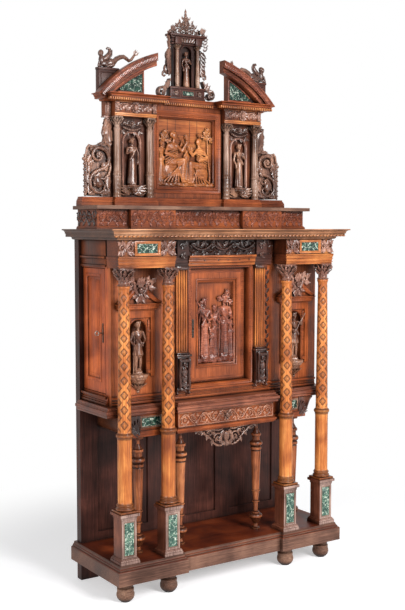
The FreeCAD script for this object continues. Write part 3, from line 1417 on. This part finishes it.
def make_sphinxes():
    """The reclining winged figures on their plinths behind the pediment."""
    figures = []
    y_board = front + size.tympanum_setback
    thickness = rear - y_board
    middle_y = (y_board + rear) / 2
    top = crown_foot + size.sphinx_plinth_height
    length = (size.sphinx_plinth_outer - size.sphinx_plinth_inner) / 2
    for side in (LEFT, RIGHT):
        plinth = board(span(side, size.sphinx_plinth_inner, size.sphinx_plinth_outer), (y_board, rear),
                       (crown_foot, top))
        centre = (size.sphinx_plinth_inner + length) * side
        body = egg(length, thickness / 2, size.sphinx_body_height, centre, middle_y,
                   top + size.sphinx_body_height / 2)
        above = board(span(side, size.sphinx_plinth_inner, size.sphinx_plinth_outer), (y_board, rear),
                      (top, top + size.sphinx_body_height * 2))
        head_x = (size.sphinx_plinth_outer - size.sphinx_head_radius * 2) * side
        head = ball(size.sphinx_head_radius, head_x, middle_y,
                    top + size.sphinx_body_height + size.sphinx_head_radius * 2)
        neck = rod(size.sphinx_head_radius / 2, size.sphinx_body_height + size.sphinx_head_radius * 2,
                   head_x, middle_y, top)
        wing = prism("XZ_Plane", middle_y - thickness / 8, middle_y + thickness / 8, shape_of_shares(
            side, SPHINX_WING_SHARES, size.sphinx_plinth_inner, length, top, size.sphinx_wing_height))
        figures.append(fused(plinth, shared(body, above), head, neck, wing))
    node("sphinxes", group(figures))


def make_tabernacle():
    """The small niche house that crowns the cabinet, with its herms, crest and finial."""
    base_head = crown_foot + size.tabernacle_base_height
    y = (front + size.tabernacle_setback, rear)
    half = size.tabernacle_base_half
    parts = [board((-half, half), y, (crown_foot, base_head))]
    for side in (LEFT, RIGHT):
        corners = shape_of_shares(side, VOLUTE_SHARES, half, size.tabernacle_volute_reach, crown_foot,
                                  size.tabernacle_base_height)
        parts.append(prism("XZ_Plane", y[0] + size.curved_gap, rear - size.curved_gap, corners))
    width, height = size.tabernacle_inset_half_width, size.tabernacle_inset_half_height
    middle = (crown_foot + base_head) / 2
    pocket = board((-width, width), (y[0] - size.overrun, y[0] + size.inset_depth),
                   (middle - height, middle + height))
    marble = board((-width, width), (y[0], y[0] + size.inset_depth), (middle - height, middle + height))
    node("tabernacle_base", cut(fused(*parts), pocket))
    body_head = base_head + size.tabernacle_body_height
    wall_front = front + size.tabernacle_wall_setback
    half, radius = size.tabernacle_wall_half, size.tabernacle_niche_radius
    wall = board((-half, half), (wall_front, rear), (base_head, body_head))
    spring = body_head - radius - size.lock_wall * 2
    recess = fused(board((-radius, radius), (wall_front - size.overrun, rear - size.lock_wall * 4),
                         (base_head + size.lock_wall * 2, spring)),
                   rod(radius, rear - size.lock_wall * 4 - wall_front + size.overrun, 0,
                       wall_front - size.overrun, spring, "Y"))
    head_y = (y[0] + size.tabernacle_head_reach, rear)
    head_half = size.tabernacle_head_half - size.tabernacle_head_reach
    head = moulded(CORNICE_SHARES, size.tabernacle_head_reach, size.tabernacle_head_height,
                   (-head_half, head_half), head_y, body_head)
    node("tabernacle", fused(cut(wall, recess), head))
    colonnettes, herms = [], []
    axis_y = wall_front - size.tabernacle_colonnette_radius - size.curved_gap
    for side in (LEFT, RIGHT):
        colonnettes.append(turned(COLONNETTE_SHARES, size.tabernacle_colonnette_radius,
                                  size.tabernacle_body_height, size.tabernacle_colonnette_x * side, axis_y,
                                  base_head))
        corners = shape_of_shares(side, HERM_SHARES, half, size.herm_reach, base_head + size.herm_foot_height,
                                  size.herm_height)
        herms.append(prism("XZ_Plane", rear - size.herm_thickness, rear, corners))
    node("tabernacle_herms", group(herms))
    crest_foot = body_head + size.tabernacle_head_height
    crest = [(size.crest_half_width * p, crest_foot + size.crest_height * q, kind)
             for p, q, kind in CREST_SHARES]
    crest_y = (rear - size.crest_thickness * 2, rear - size.crest_thickness)
    finial = turned(FINIAL_SHARES, size.finial_radius, size.finial_height, 0,
                    (crest_y[0] + crest_y[1]) / 2, crest_foot + size.crest_height)
    node("crest_and_finial", group([prism("XZ_Plane", crest_y[0], crest_y[1], crest), finial]))
    figure = turned(FIGURE_SHARES, size.tabernacle_figure_radius, size.tabernacle_figure_height, 0,
                    wall_front + size.lock_wall, base_head + size.lock_wall * 2)
    return colonnettes, marble, figure


def check_and_write():
    """Stops on any failed feature, then writes one file per node."""
    document.recompute()
    for thing in document.Objects:
        if "Invalid" in thing.State or "Error" in thing.State:
            raise RuntimeError(f"{thing.Name} ({thing.Label}) is {thing.State}")
    os.makedirs("parts", exist_ok=True)
    for thing in nodes:
        if thing.Shape.isNull() or not thing.Shape.isValid() or not thing.Shape.Solids:
            raise RuntimeError(f"{thing.Label} has no valid shape")
    for thing in nodes:
        thing.Shape.exportStep(f"parts/{thing.Label}.step")
    print(f"{len(nodes)} nodes written")


make_plinth()
make_back()
pedestal_marbles = make_pedestals()
make_columns()
make_legs()
make_table()
make_drawer_housing()
make_drawer()
box_marbles = make_side_boxes()
make_apron()
make_case_sides()
make_case_inside()
bay_brackets = make_bays()
make_surround()
make_centre_door()
make_side_door("left", LEFT)
make_side_door("right", RIGHT)
make_hinge_pins()
frieze_marbles = make_entablature()
make_attic()
make_upper_base()
tower_colonnettes, tower_brackets, tower_figures = make_towers()
make_relief()
make_wings()
tympanum_marbles = make_pediment()
make_sphinxes()
small_colonnettes, tabernacle_marble, tabernacle_figure = make_tabernacle()
node("colonnettes", group(tower_colonnettes + small_colonnettes))
node("niche_brackets", group(bay_brackets + tower_brackets))
node("upper_figures", group(tower_figures + [tabernacle_figure]))
node("lower_marbles", group(pedestal_marbles + box_marbles))
node("upper_marbles", group(frieze_marbles + tympanum_marbles + [tabernacle_marble]))
check_and_write()
